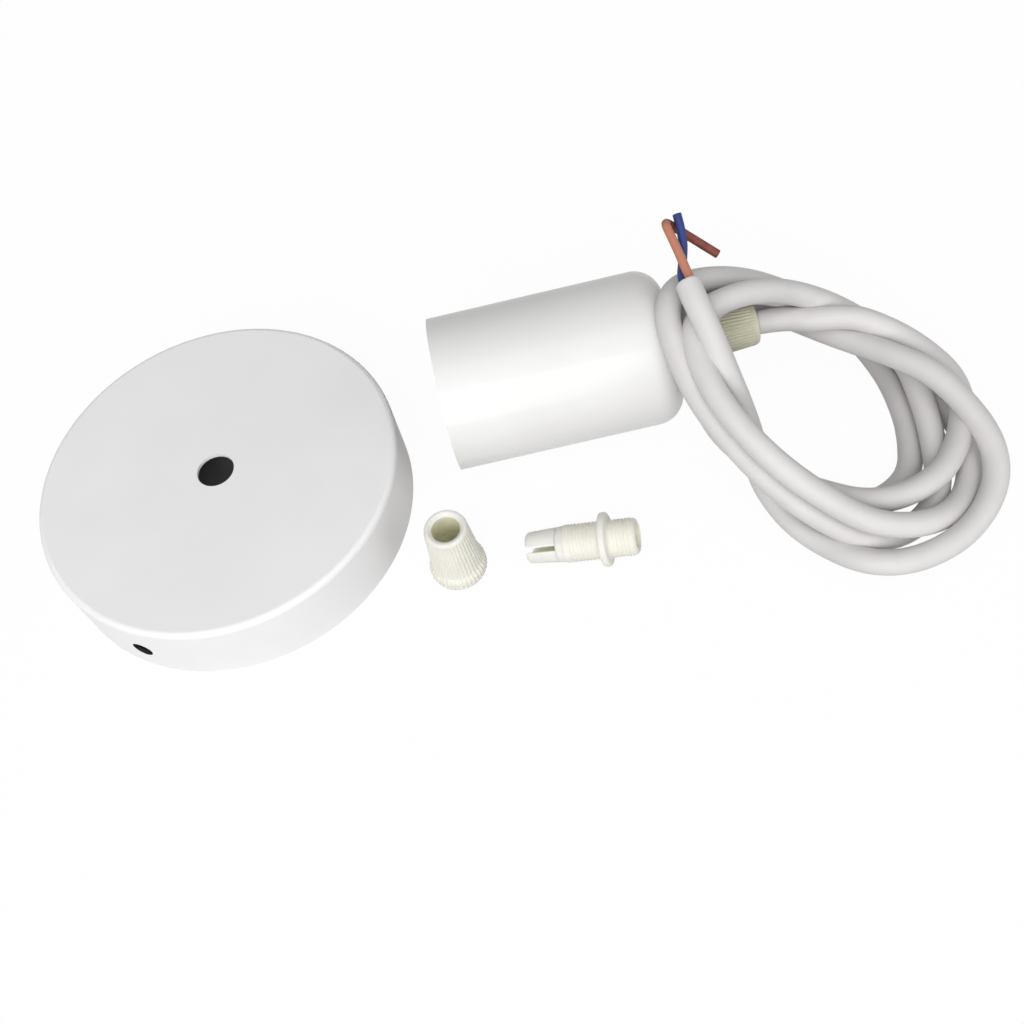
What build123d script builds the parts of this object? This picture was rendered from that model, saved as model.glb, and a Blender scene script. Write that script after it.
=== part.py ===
import os
from math import atan2, cos, degrees, pi, radians, sin, tan

from build123d import *

# Pendant lamp holder kit, laid out on a table. Millimetres, +Z up.
# Origin: middle of the kit's footprint on the table. +X runs along the lamp holder, from mouth to cord.

# Lay-out on the table
kit_span = 200.0
holder_y = 7.0
loose_nut_place = (8.85, -34.4)
loose_grip_place = (27.95, -35.9)
loose_grip_turn = -12.5
loose_grip_roll = 50.0

# Canopy, a drawn steel cup
canopy_diameter = 100.0
canopy_height = 20.0
canopy_wall = 1.0
canopy_edge_radius = 1.6
canopy_side_hole_diameter = 5.6
canopy_side_hole_height = 9.0
canopy_side_hole_turn = 240.0
canopy_side_hole_count = 2

# Lamp holder sleeve, a drawn cup with a well rounded closed end
sleeve_diameter = 41.5
sleeve_length = 62.4
sleeve_wall = 0.9
sleeve_corner_radius = 7.5

# Cord grip body: threaded stub, flange, thread and split jaws
thread_diameter = 10.0
thread_hole_clearance = 0.15
grip_stub_length = 7.5
grip_stub_chamfer = 0.9
grip_flange_diameter = 14.2
grip_flange_thickness = 2.0
grip_flange_round = 0.9
grip_thread_length = 9.4
grip_neck_step = 0.25
grip_jaw_length = 10.3
grip_jaw_tip_diameter = 8.2
grip_jaw_tip_round = 0.5
grip_slot_width = 1.6
grip_slot_depth = 8.0

# Cord grip nut: a ribbed cone on a short ribbed collar
nut_height = 20.0
nut_collar_diameter = 15.2
nut_collar_height = 3.6
nut_collar_step = 0.7
nut_neck_diameter = 13.5
nut_top_diameter = 11.4
nut_end_chamfer = 0.6
nut_rib_count = 40
nut_rib_depth = 0.35
nut_lip_thickness = 1.0
nut_mouth_chamfer = 0.6
running_gap = 0.3

# Cord: round sheath with two cores
cord_diameter = 6.5
cord_bore_clearance = 0.2
core_diameter = 2.3
conductor_diameter = 1.2
sheath_strip_gap = 1.2
core_end_stand_off = 0.2
lead_stand_out = 0.55

# Lamp socket: core, screw shell and contacts
core_radial_clearance = 0.95
core_front_setback = 12.0
core_length = 34.0
core_floor_thickness = 6.0
core_edge_chamfer = 0.8
shell_pitch = 3.6
shell_turns = 5
shell_land = 0.5
shell_crest_diameter = 24.9
shell_root_diameter = 27.1
shell_sheet = 0.4
shell_lip_length = 1.6
shell_clearance = 0.35
shell_floor_hole_diameter = 17.0
contact_sheet = 0.5
contact_width = 6.0
contact_rise = 4.5
contact_reach = 11.0
contact_root_length = 4.5
contact_bend_radius = 1.2
contact_nose_length = 2.0
contact_nose_lift = 0.9

# Fastenings inside the sleeve
sheet_fit = 0.05
bracket_sheet = 1.2
bracket_width = 14.0
bracket_toe_inset = 0.5
foot_screw_inset = 2.9
bracket_bend_radius = 1.2
lock_nut_across_flats = 14.0
lock_nut_thickness = 3.0
rivet_diameter = 2.2
rivet_head_diameter = 3.6
rivet_head_height = 0.7
shell_rivet_circle = 21.6
shell_rivet_turns = (-90.0, 58.0, 122.0)
contact_rivet_y = 4.0
terminal_sheet = 1.0
terminal_width = 7.0
terminal_length = 11.0
terminal_corner_radius = 1.0
terminal_screw_pitch = 6.6
screw_diameter = 3.0
screw_head_diameter = 5.5
screw_head_height = 1.8
screw_head_round = 0.6
screw_slot_width = 0.7
screw_slot_depth = 0.8
foot_screw_length = 5.6
terminal_screw_grip = 1.8
terminal_screw_length = 5.0
screw_hole_spare = 0.6

# Values worked out from the sizes above
sleeve_radius = sleeve_diameter / 2
canopy_radius = canopy_diameter / 2
thread_radius = thread_diameter / 2
thread_hole_radius = thread_radius + thread_hole_clearance
cord_bore_radius = cord_diameter / 2 + cord_bore_clearance
core_radius = core_diameter / 2
grip_front_length = grip_thread_length + grip_jaw_length
nut_stand_off = grip_front_length + running_gap - (nut_height - nut_lip_thickness)
nut_end_x = kit_span / 2
grip_face_x = nut_end_x - nut_height - nut_stand_off
mouth_x = grip_face_x - grip_flange_thickness - sleeve_length
end_wall = sleeve_length - sleeve_wall
bracket_face = end_wall - bracket_sheet
stub_end = sleeve_length - grip_stub_length
sheath_end = stub_end - sheath_strip_gap
core_outer_radius = sleeve_radius - sleeve_wall - core_radial_clearance
core_back = core_front_setback + core_length
core_floor = core_back - core_floor_thickness
shell_root_radius = shell_root_diameter / 2
shell_outer_radius = shell_root_radius + shell_sheet
core_recess_radius = shell_outer_radius + shell_clearance
terminal_face = core_back + terminal_sheet
wire_axis = terminal_face + terminal_screw_grip - conductor_diameter / 2 - sheet_fit
rivet_hole_radius = rivet_diameter / 2 + sheet_fit
screw_hole_radius = screw_diameter / 2 + sheet_fit
foot_screw_reach = core_outer_radius - foot_screw_inset
bracket_leg_reach = foot_screw_reach - screw_head_diameter / 2 - sheet_fit - bracket_bend_radius

# Axes of the pieces: local z runs along the holder from the mouth to the cord, local y points up
holder_plane = Plane(origin=(mouth_x, holder_y, sleeve_radius), x_dir=(0, 1, 0), z_dir=(1, 0, 0))
upright = (Align.CENTER, Align.CENTER, Align.MIN)

# Routes of the free cord, on the table's own axes
lead_start_x = nut_end_x + lead_stand_out
lead_route = [
    (lead_start_x, holder_y, sleeve_radius),
    (113.7, holder_y, sleeve_radius),
    (124.3, 6.6, 18.0),
    (133.2, 4.5, 14.3),
]
coil_route = [
    (85.9, 4.2, 37.4),
    (97.1, 14.6, 35.4),
    (114.7, 16.0, 23.4),
    (134.7, -2.0, 10.0),
    (142.7, -25.0, 7.9),
    (137.7, -47.5, 7.9),
    (118.7, -58.5, 9.0),
    (98.7, -48.5, 14.0),
    (85.3, -31.0, 25.0),
    (82.5, -13.0, 34.5),
]
tail_route = [
    (86.8, -27.5, 30.2),
    (85.2, -18.3, 39.0),
    (83.0, -8.4, 44.6),
    (81.5, 1.9, 47.65),
]
brown_end_route = [
    (82.3, 1.78, 48.54),
    (81.85, 5.0, 49.35),
    (80.8, 12.0, 51.7),
    (79.75, 18.1, 53.25),
    (80.55, 19.9, 51.75),
    (84.6, 17.9, 48.4),
    (91.9, 13.75, 42.9),
]
blue_end_route = [
    (80.7, 2.2, 46.8),
    (80.35, 4.7, 47.4),
    (82.0, 9.9, 47.3),
    (83.6, 15.2, 50.5),
    (83.25, 20.2, 53.6),
]
coil_section_radius = 7.5

# Core ends inside the holder, on the holder's own axes
wire_beside_screw = screw_diameter / 2 + conductor_diameter / 2 + sheet_fit
core_end_to_screw = screw_head_diameter / 2 + core_end_stand_off
brown_end_y = contact_rivet_y + terminal_screw_pitch - core_end_to_screw
blue_end_x = terminal_screw_pitch - core_end_to_screw
blue_end_y = wire_beside_screw - shell_rivet_circle / 2
brown_inner_route = [
    (1.3, 0.6, sheath_end),
    (1.3, 0.6, sheath_end - 2.0),
    (1.8, 3.4, wire_axis + 2.2),
    (wire_beside_screw, brown_end_y - 1.5, wire_axis),
    (wire_beside_screw, brown_end_y, wire_axis),
]
blue_inner_route = [
    (-1.3, -0.6, sheath_end),
    (-1.3, -0.6, sheath_end - 2.0),
    (-0.6, -5.4, wire_axis + 2.0),
    (blue_end_x - 1.8, blue_end_y, wire_axis),
    (blue_end_x, blue_end_y, wire_axis),
]


def turned(outline):
    # Solid of revolution about z from an outline of (radius, height) points
    return revolve(Plane.XZ * make_face(Polyline(*outline, close=True)), Axis.Z)


def rod(radius, low, high):
    # Round rod about z between two heights
    return Pos(0, 0, low) * Cylinder(radius, high - low, align=upright)


def closed_cup(radius, length, corner):
    # Full cylinder with its far end rounded off
    blank = Cylinder(radius, length, align=upright)
    return fillet(blank.edges().sort_by(Axis.Z)[-1], corner)


def drawn_cup(radius, length, corner, wall, hole_radius):
    # Thin cup, open at z = 0, with a hole in its closed end
    inside = closed_cup(radius - wall, length - wall, max(corner - wall, wall / 2))
    return closed_cup(radius, length, corner) - inside - rod(hole_radius, 0, length)


def folded_strip(points, bends, thickness, width):
    # Sheet strip folded in the local y-z or x-z plane and set out evenly to both sides
    path = FilletPolyline(*points, radius=bends)
    return extrude(Plane.XZ * trace(path, thickness), width / 2, both=True)


def pan_screw(shank_length):
    # Slotted pan head above z = 0 with its shank below
    head = rod(screw_head_diameter / 2, 0, screw_head_height)
    head = fillet(head.edges().sort_by(Axis.Z)[-1], screw_head_round)
    slot_z = screw_head_height - screw_slot_depth
    slot = Pos(0, 0, slot_z) * Box(screw_head_diameter, screw_slot_width, screw_slot_depth, align=upright)
    return head - slot + rod(screw_diameter / 2, -shank_length, 0)


def rivet(length):
    # Flat head below z = 0, shank up to the closing head beyond length
    head = rod(rivet_head_diameter / 2, -rivet_head_height, 0)
    closing = rod(rivet_head_diameter / 2, length, length + rivet_head_height)
    return head + rod(rivet_diameter / 2, 0, length) + closing


def bend_radii(points, closed=False):
    # Each arc takes 0.45 of the shorter of its two runs
    count = len(points)
    corners = range(count) if closed else range(1, count - 1)
    radii = []
    for i in corners:
        before = Vector(points[i]) - Vector(points[i - 1])
        after = Vector(points[(i + 1) % count]) - Vector(points[i])
        half_turn = radians(before.get_angle(after) / 2)
        radii.append(0.45 * min(before.length, after.length) / tan(half_turn))
    return radii


def tube(points, radius, bends=None):
    # Round tube along straight runs joined by tangent arcs
    bends = bends or bend_radii(points)
    path = FilletPolyline(*points, radius=bends)
    solid = sweep(Plane(path @ 0, z_dir=path % 0) * Circle(radius), path)
    expected = pi * radius**2 * path.length
    print("bends", [round(r, 1) for r in bends], "length", round(path.length, 1),
          "volume share", round(solid.volume / expected, 4))
    return solid


def ring(points, radius):
    # Closed ring of round section, in two halves that meet in the middle of two of its runs
    bends = bend_radii(points, closed=True)
    half = len(points) // 2
    start = (Vector(points[-1]) + Vector(points[0])) / 2
    middle = (Vector(points[half - 1]) + Vector(points[half])) / 2
    first = tube([start, *points[:half], middle], radius, bends[:half])
    second = tube([middle, *points[half:], start], radius, bends[half:])
    return first + second


def make_canopy():
    cup = drawn_cup(canopy_radius, canopy_height, canopy_edge_radius, canopy_wall, thread_hole_radius)
    for i in range(canopy_side_hole_count):
        turn = canopy_side_hole_turn + 360.0 * i / canopy_side_hole_count
        drill = Rot(0, 0, turn) * Pos(0, 0, canopy_side_hole_height) * Rot(0, 90, 0)
        cup -= drill * rod(canopy_side_hole_diameter / 2, canopy_radius / 2, canopy_radius + canopy_wall)
    return Pos(canopy_radius - kit_span / 2, 0, 0) * cup


def grip_body():
    # Flange face at z = 0, jaws above, threaded stub below
    neck_radius = thread_radius - grip_neck_step
    tip_radius = grip_jaw_tip_diameter / 2
    low = -grip_flange_thickness - grip_stub_length
    body = turned([
        (cord_bore_radius, low),
        (thread_radius - grip_stub_chamfer, low),
        (thread_radius, low + grip_stub_chamfer),
        (thread_radius, grip_thread_length),
        (neck_radius, grip_thread_length + grip_neck_step),
        (tip_radius, grip_front_length - grip_jaw_tip_round),
        (tip_radius - grip_jaw_tip_round, grip_front_length),
        (cord_bore_radius, grip_front_length),
    ])
    flange = rod(grip_flange_diameter / 2, -grip_flange_thickness, 0)
    flange = fillet(flange.edges(), grip_flange_round)
    slot_z = grip_front_length - grip_slot_depth
    slot = Pos(0, 0, slot_z) * Box(grip_slot_width, thread_diameter, grip_slot_depth, align=upright)
    return body + (flange - rod(thread_radius, -grip_flange_thickness, 0)) - slot


def rib_section(radius, height):
    # Star outline: rib crests at radius, grooves one rib depth lower
    points = []
    for i in range(2 * nut_rib_count):
        angle = pi * i / nut_rib_count
        reach = radius - nut_rib_depth * (i % 2)
        points.append((reach * cos(angle), reach * sin(angle)))
    return Pos(0, 0, height) * make_face(Polyline(*points, close=True))


def grip_nut():
    # Wide end at z = 0, narrow end with its lip at the top
    collar_radius = nut_collar_diameter / 2
    top_radius = nut_top_diameter / 2
    outline = [
        (collar_radius - nut_end_chamfer, 0),
        (collar_radius, nut_end_chamfer),
        (collar_radius, nut_collar_height),
        (nut_neck_diameter / 2, nut_collar_height + nut_collar_step),
        (top_radius, nut_height - nut_end_chamfer),
        (top_radius - nut_end_chamfer, nut_height),
    ]
    body = loft([rib_section(r, z) for r, z in outline], ruled=True)
    thread_bore = thread_radius + running_gap
    jaw_bore = grip_jaw_tip_diameter / 2 + running_gap
    thread_top = grip_thread_length + grip_neck_step - nut_stand_off
    lip_z = nut_height - nut_lip_thickness
    lip_radius = cord_diameter / 2 + running_gap + cord_bore_clearance
    hollow = turned([
        (0, 0),
        (thread_bore + nut_mouth_chamfer, 0),
        (thread_bore, nut_mouth_chamfer),
        (thread_bore, thread_top),
        (jaw_bore, lip_z),
        (lip_radius, lip_z),
        (lip_radius, nut_height),
        (0, nut_height),
    ])
    return body - hollow


def make_loose_grip_body():
    # Lies on the middle of its flange and on its jaw tips, jaws to the left
    fall = (grip_flange_diameter - grip_jaw_tip_diameter) / 2
    reach = grip_front_length - grip_jaw_tip_round + grip_flange_thickness / 2
    lean = degrees(atan2(fall, reach))
    body = Pos(0, 0, -grip_front_length) * Rot(0, 0, loose_grip_roll) * grip_body()
    lying = Rot(0, -90 - lean, 0) * body
    lying = Rot(0, 0, loose_grip_turn) * lying
    rest = -lying.bounding_box().min.Z
    return Pos(loose_grip_place[0], loose_grip_place[1], rest) * lying


def make_socket_core():
    outer = rod(core_outer_radius, core_front_setback, core_back)
    outer = chamfer(outer.edges().filter_by(GeomType.CIRCLE), core_edge_chamfer)
    body = outer - rod(core_recess_radius, core_front_setback, core_floor)
    for x, y in shell_rivet_spots() + [(0, contact_rivet_y)]:
        body -= Pos(x, y, 0) * rod(rivet_hole_radius, core_floor, core_back)
    for x, y in terminal_screw_spots():
        depth = terminal_screw_length - terminal_sheet - terminal_screw_grip + screw_hole_spare
        body -= Pos(x, y, 0) * rod(screw_hole_radius, core_back - depth, core_back)
    for x, y in foot_screw_spots():
        depth = foot_screw_length - bracket_sheet + screw_hole_spare
        body -= Pos(x, y, 0) * rod(screw_hole_radius, core_back - depth, core_back)
    return body


def make_screw_shell():
    # Rolled sheet thread, drawn as ridges, above a floor with a wide hole
    crest = shell_crest_diameter / 2
    root = shell_root_radius
    front = core_floor - shell_sheet - shell_turns * shell_pitch - shell_pitch / 2 - shell_lip_length
    wave = [(root, front), (root, front + shell_lip_length)]
    flank = (shell_pitch - 2 * shell_land) / 2
    for i in range(shell_turns):
        low = front + shell_lip_length + i * shell_pitch
        wave += [
            (crest, low + flank),
            (crest, low + flank + shell_land),
            (root, low + shell_pitch - shell_land),
            (root, low + shell_pitch),
        ]
    floor_z = core_floor - shell_sheet
    inner = wave + [(root, floor_z), (shell_floor_hole_diameter / 2, floor_z)]
    outer = [(r + shell_sheet, z) for r, z in wave]
    outer += [(shell_outer_radius, core_floor), (shell_floor_hole_diameter / 2, core_floor)]
    shell = turned(inner + outer[::-1])
    for x, y in shell_rivet_spots():
        shell -= Pos(x, y, 0) * rod(rivet_hole_radius, floor_z, core_floor)
    return shell


def make_centre_contact():
    # Spring tongue: root flat on the floor, then a ramp that lifts its tip over the middle
    root_z = core_floor - contact_sheet / 2
    root_end = contact_rivet_y + contact_root_length / 2
    bend = contact_rivet_y - contact_root_length / 2
    tip = root_end - contact_reach
    points = [
        (root_end, root_z),
        (bend, root_z),
        (tip + contact_nose_length, root_z - contact_rise),
        (tip, root_z - contact_rise + contact_nose_lift),
    ]
    strip = Rot(0, 0, 90) * folded_strip(points, contact_bend_radius, contact_sheet, contact_width)
    hole_low = core_floor - contact_sheet
    return strip - Pos(0, contact_rivet_y, 0) * rod(rivet_hole_radius, hole_low, core_floor)


def make_bracket():
    # Folded strap: flat on the sleeve's end wall, two legs, two feet on the core's back;
    # the bends at the foot of the legs just clear the screw heads
    half = bracket_sheet / 2
    leg = bracket_leg_reach
    toe = core_outer_radius - bracket_toe_inset
    base_z = end_wall - half
    foot_z = core_back + half
    points = [(-toe, foot_z), (-leg, foot_z), (-leg, base_z), (leg, base_z), (leg, foot_z), (toe, foot_z)]
    strap = folded_strip(points, bracket_bend_radius, bracket_sheet, bracket_width)
    strap -= rod(thread_hole_radius, bracket_face, end_wall)
    for x, y in foot_screw_spots():
        strap -= Pos(x, y, 0) * rod(screw_hole_radius, core_back, core_back + bracket_sheet)
    return strap


def make_lock_nut():
    hexagon = RegularPolygon(lock_nut_across_flats / 2, 6, major_radius=False)
    nut = Pos(0, 0, bracket_face - lock_nut_thickness) * extrude(hexagon, lock_nut_thickness)
    return nut - rod(thread_radius + sheet_fit, bracket_face - lock_nut_thickness, bracket_face)


def foot_screw_spots():
    return [(foot_screw_reach, 0), (-foot_screw_reach, 0)]


def shell_rivet_spots():
    reach = shell_rivet_circle / 2
    return [(reach * cos(radians(a)), reach * sin(radians(a))) for a in shell_rivet_turns]


def terminal_screw_spots():
    neutral_y = shell_rivet_spots()[0][1]
    return [(0, contact_rivet_y + terminal_screw_pitch), (terminal_screw_pitch, neutral_y)]


def make_terminal(rivet_spot, screw_spot):
    # Flat strip with a rivet hole near one end and a screw hole near the other
    middle_x = (rivet_spot[0] + screw_spot[0]) / 2
    middle_y = (rivet_spot[1] + screw_spot[1]) / 2
    along = abs(screw_spot[0] - rivet_spot[0]) > abs(screw_spot[1] - rivet_spot[1])
    size_x, size_y = (terminal_length, terminal_width) if along else (terminal_width, terminal_length)
    strip = Pos(middle_x, middle_y, core_back) * Box(size_x, size_y, terminal_sheet, align=upright)
    strip = fillet(strip.edges().filter_by(Axis.Z), terminal_corner_radius)
    strip -= Pos(*rivet_spot, 0) * rod(rivet_hole_radius, core_back, terminal_face)
    return strip - Pos(*screw_spot, 0) * rod(screw_hole_radius, core_back, terminal_face)


def make_shell_rivets():
    # The first one also carries the neutral terminal, the other two close on the core's back
    solids = []
    for i, (x, y) in enumerate(shell_rivet_spots()):
        back = terminal_face if i == 0 else core_back
        low = core_floor - shell_sheet
        solids.append(Pos(x, y, low) * rivet(back - low))
    return Compound(children=[Part() + s for s in solids])


def make_contact_rivet():
    low = core_floor - contact_sheet
    return Pos(0, contact_rivet_y, low) * rivet(terminal_face - low)


def make_terminal_screws():
    head_z = terminal_face + terminal_screw_grip
    screws = [Pos(x, y, head_z) * pan_screw(terminal_screw_length) for x, y in terminal_screw_spots()]
    return Compound(children=[Part() + s for s in screws])


def make_bracket_screws():
    head_z = core_back + bracket_sheet
    screws = [Pos(x, y, head_z) * pan_screw(foot_screw_length) for x, y in foot_screw_spots()]
    return Compound(children=[Part() + s for s in screws])


def make_conductor_ends():
    # Bare copper from the end of each core to the far side of its screw
    live_x, live_y, live_z = brown_inner_route[-1]
    neutral_x, neutral_y, neutral_z = blue_inner_route[-1]
    radius = conductor_diameter / 2
    live_length = contact_rivet_y + terminal_screw_pitch - live_y + screw_diameter / 2
    neutral_length = terminal_screw_pitch - neutral_x + screw_diameter / 2
    live = Pos(live_x, live_y, live_z) * Rot(-90, 0, 0) * Cylinder(radius, live_length, align=upright)
    neutral = Pos(neutral_x, neutral_y, neutral_z) * Rot(0, 90, 0) * Cylinder(radius, neutral_length, align=upright)
    return Compound(children=[Part() + live, Part() + neutral])


def make_cord_entry():
    # Sheath held straight in the grip, from inside the holder to just past the nut
    return rod(cord_diameter / 2, sheath_end, lead_start_x - mouth_x)


live_spots = ((0, contact_rivet_y), terminal_screw_spots()[0])
neutral_spots = (shell_rivet_spots()[0], terminal_screw_spots()[1])
grip_place = Pos(0, 0, grip_face_x - mouth_x)
sleeve = drawn_cup(sleeve_radius, sleeve_length, sleeve_corner_radius, sleeve_wall, thread_hole_radius)

in_holder = {
    "holder_sleeve": sleeve,
    "holder_grip_body": grip_place * grip_body(),
    "holder_grip_nut": grip_place * Pos(0, 0, nut_stand_off) * grip_nut(),
    "socket_bracket": make_bracket(),
    "bracket_lock_nut": make_lock_nut(),
    "bracket_screws": make_bracket_screws(),
    "socket_core": make_socket_core(),
    "screw_shell": make_screw_shell(),
    "shell_rivets": make_shell_rivets(),
    "centre_contact": make_centre_contact(),
    "contact_rivet": make_contact_rivet(),
    "live_terminal": make_terminal(*live_spots),
    "neutral_terminal": make_terminal(*neutral_spots),
    "terminal_screws": make_terminal_screws(),
    "brown_core_inner": tube(brown_inner_route, core_radius),
    "blue_core_inner": tube(blue_inner_route, core_radius),
    "conductor_ends": make_conductor_ends(),
    "cord_entry": make_cord_entry(),
}
on_table = {
    "canopy": make_canopy(),
    "canopy_grip_nut": Pos(*loose_nut_place, 0) * grip_nut(),
    "canopy_grip_body": make_loose_grip_body(),
    "cord_lead": tube(lead_route, cord_diameter / 2),
    "cord_coil": ring(coil_route, coil_section_radius),
    "cord_tail": tube(tail_route, cord_diameter / 2),
    "brown_core_end": tube(brown_end_route, core_radius),
    "blue_core_end": tube(blue_end_route, core_radius),
}

os.makedirs("parts", exist_ok=True)
nodes = {name: holder_plane * piece for name, piece in in_holder.items()} | on_table
for name, piece in nodes.items():
    export_step(piece, f"parts/{name}.step")
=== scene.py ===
import bmesh
import bpy
import numpy as np
from mathutils import Matrix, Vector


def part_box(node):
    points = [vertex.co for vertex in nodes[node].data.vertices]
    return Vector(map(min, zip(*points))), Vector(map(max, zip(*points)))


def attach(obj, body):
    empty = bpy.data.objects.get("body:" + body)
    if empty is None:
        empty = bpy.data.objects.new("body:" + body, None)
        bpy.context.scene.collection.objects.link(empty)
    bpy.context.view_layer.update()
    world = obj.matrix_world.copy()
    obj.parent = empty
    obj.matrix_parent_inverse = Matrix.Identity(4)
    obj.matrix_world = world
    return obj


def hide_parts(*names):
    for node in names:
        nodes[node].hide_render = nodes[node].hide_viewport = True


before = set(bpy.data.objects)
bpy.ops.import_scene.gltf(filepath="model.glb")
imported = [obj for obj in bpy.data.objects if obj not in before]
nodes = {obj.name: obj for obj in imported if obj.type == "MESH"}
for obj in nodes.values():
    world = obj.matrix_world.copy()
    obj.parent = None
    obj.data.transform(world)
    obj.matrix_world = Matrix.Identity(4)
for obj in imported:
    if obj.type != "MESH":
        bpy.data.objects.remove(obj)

mm = 0.001                                   # sizes below are in millimetres, the scene is in metres
scene = bpy.context.scene
scene.view_settings.view_transform = "Standard"
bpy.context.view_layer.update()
print("frame loaded:", len(nodes), "nodes")

# Camera

photoView = {
    "place": (39.42, -209.52, 287.04),
    "right": (0.97451, -0.16250, -0.15464),  # the picture's own right and up, on the table's axes
    "up": (0.22052, 0.82037, 0.52761),
    "lens": 44.58,
    "sensor": 36.0,
}
sightLine = np.cross(photoView["right"], photoView["up"])


def setCamera(view):
    camera = bpy.data.objects.new("photoCamera", bpy.data.cameras.new("photoCamera"))
    scene.collection.objects.link(camera)
    camera.data.lens = view["lens"]
    camera.data.sensor_width = view["sensor"]
    camera.data.sensor_fit = "HORIZONTAL"
    turn = Matrix(np.array([view["right"], view["up"], sightLine]).T.tolist())
    camera.matrix_world = Matrix.Translation(np.array(view["place"]) * mm) @ turn.to_4x4()
    scene.camera = camera


setCamera(photoView)
print("camera set")

# Shader maths


class Flow:
    # A socket in a material's node tree; sums and products on it add Math nodes
    def __init__(self, tree, socket=None):
        self.tree = tree
        self.socket = socket

    def make(self, kind, settings=None, inputs=None, output=0):
        node = self.tree.nodes.new(kind)
        for name, value in (settings or {}).items():
            if name == "stops":
                while len(node.color_ramp.elements) < len(value):
                    node.color_ramp.elements.new(0.5)
                for element, (place, colour) in zip(node.color_ramp.elements, value):
                    element.position = place
                    element.color = (*colour, 1.0)
            else:
                setattr(node, name, value)
        for name, value in (inputs or {}).items():
            if isinstance(value, Flow):
                self.tree.links.new(value.socket, node.inputs[name])
            else:
                node.inputs[name].default_value = value
        return Flow(self.tree, node.outputs[output])

    def maths(self, operation, first, second=0.0):
        return self.make("ShaderNodeMath", {"operation": operation}, {0: first, 1: second})

    def __add__(self, other):
        return self.maths("ADD", self, other)

    def __sub__(self, other):
        return self.maths("SUBTRACT", self, other)

    def __rsub__(self, other):
        return self.maths("SUBTRACT", other, self)

    def __mul__(self, other):
        return self.maths("MULTIPLY", self, other)

    def __gt__(self, other):
        return self.maths("GREATER_THAN", self, other)

    def __lt__(self, other):
        return self.maths("LESS_THAN", self, other)

    __radd__ = __add__
    __rmul__ = __mul__

    def eased(self, low, high):
        # 0 below low, 1 above high, smooth between
        inputs = {"Value": self, "From Min": low, "From Max": high}
        return self.make("ShaderNodeMapRange", {"interpolation_type": "SMOOTHSTEP"}, inputs)

    def blend(self, first, second):
        # The first colour where this is 0, the second where it is 1
        colours = [c if isinstance(c, Flow) else (*c, 1.0) for c in (first, second)]
        inputs = {0: self, 6: colours[0], 7: colours[1]}
        return self.make("ShaderNodeMix", {"data_type": "RGBA"}, inputs, 2)


def startFinish(name, fixed=None):
    # A new material with its Principled shader; fixed holds the values that are the same all over
    material = bpy.data.materials.new(name)
    material.use_nodes = True
    shader = material.node_tree.nodes["Principled BSDF"]
    for socket, value in (fixed or {}).items():
        shader.inputs[socket].default_value = value
    flow = Flow(material.node_tree)
    place = flow.make("ShaderNodeTexCoord", output=3)
    return material, shader, place


def feed(shader, **links):
    # Links values to the shader's sockets; an underscore stands for a space in a socket's name
    for name, value in links.items():
        value.tree.links.new(value.socket, shader.inputs[name.replace("_", " ")])


def noise(place, size, detail=2.0, roughness=0.5):
    # Cloudy pattern whose patches are about size millimetres across
    inputs = {"Vector": place, "Scale": 1.0 / (size * mm), "Detail": detail, "Roughness": roughness}
    return place.make("ShaderNodeTexNoise", None, inputs)


def specks(place, spacing, radius, share):
    # Small round spots, on a share of the cells of a Voronoi pattern
    inputs = {"Vector": place, "Scale": 1.0 / (spacing * mm)}
    distance = place.make("ShaderNodeTexVoronoi", None, inputs)
    cell = place.make("ShaderNodeTexVoronoi", None, inputs, 1)
    chosen = place.make("ShaderNodeSeparateColor", None, {"Color": cell}) < share
    return chosen * (1 - distance.eased(0.4 * radius / spacing, radius / spacing))


def bumped(height, depth):
    # Normal from a height of 0 to 1 that stands for depth millimetres
    inputs = {"Height": height, "Distance": depth * mm, "Strength": 1.0}
    return height.make("ShaderNodeBump", None, inputs)


def stretched(place, scale):
    # A pattern read from these coordinates is longer where the scale is below 1
    return place.make("ShaderNodeMapping", None, {"Vector": place, "Scale": scale})


# Finishes

tappedHoles = {
    "middle": (-50.0, 0.0, 9.0),             # the holes' shared axis runs through here
    "direction": (-0.5, -0.866, 0.0),
    "radius": 2.83,
}


def fromAxis(place, middle, direction):
    # Distance from a straight line: the length of the cross product with its direction
    kind = "ShaderNodeVectorMath"
    offset = place.make(kind, {"operation": "SUBTRACT"}, {0: place, 1: [c * mm for c in middle]})
    cross = place.make(kind, {"operation": "CROSS_PRODUCT"}, {0: offset, 1: direction})
    return place.make(kind, {"operation": "LENGTH"}, {0: cross}, 1)


def canopyPaint():
    # Satin powder coat; the walls of the tapped holes are painted near black, painted shade for their dark
    # inside
    material, shader, place = startFinish("canopyPaint", {"Specular IOR Level": 0.45})
    toAxis = fromAxis(place, tappedHoles["middle"], tappedHoles["direction"])
    # Painted shade: near black on the walls of the tapped holes, where the holes are dark inside
    holeShade = toAxis < tappedHoles["radius"] * mm
    cloud = noise(place, 42.0, 3.0)
    grain = noise(place, 0.9, 2.0)
    dust = specks(place, 9.0, 0.16, 0.16)
    colour = cloud.eased(0.3, 0.7).blend((0.830, 0.823, 0.829), (0.862, 0.857, 0.860))
    dusty = (dust * 0.6).blend(colour, (0.45, 0.44, 0.43))
    feed(shader, Base_Color=holeShade.blend(dusty, (0.02, 0.02, 0.022)),
         Roughness=0.40 + 0.08 * cloud + 0.06 * grain,
         Normal=bumped(grain + 0.5 * noise(place, 2.6), 0.012))
    return material


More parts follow.
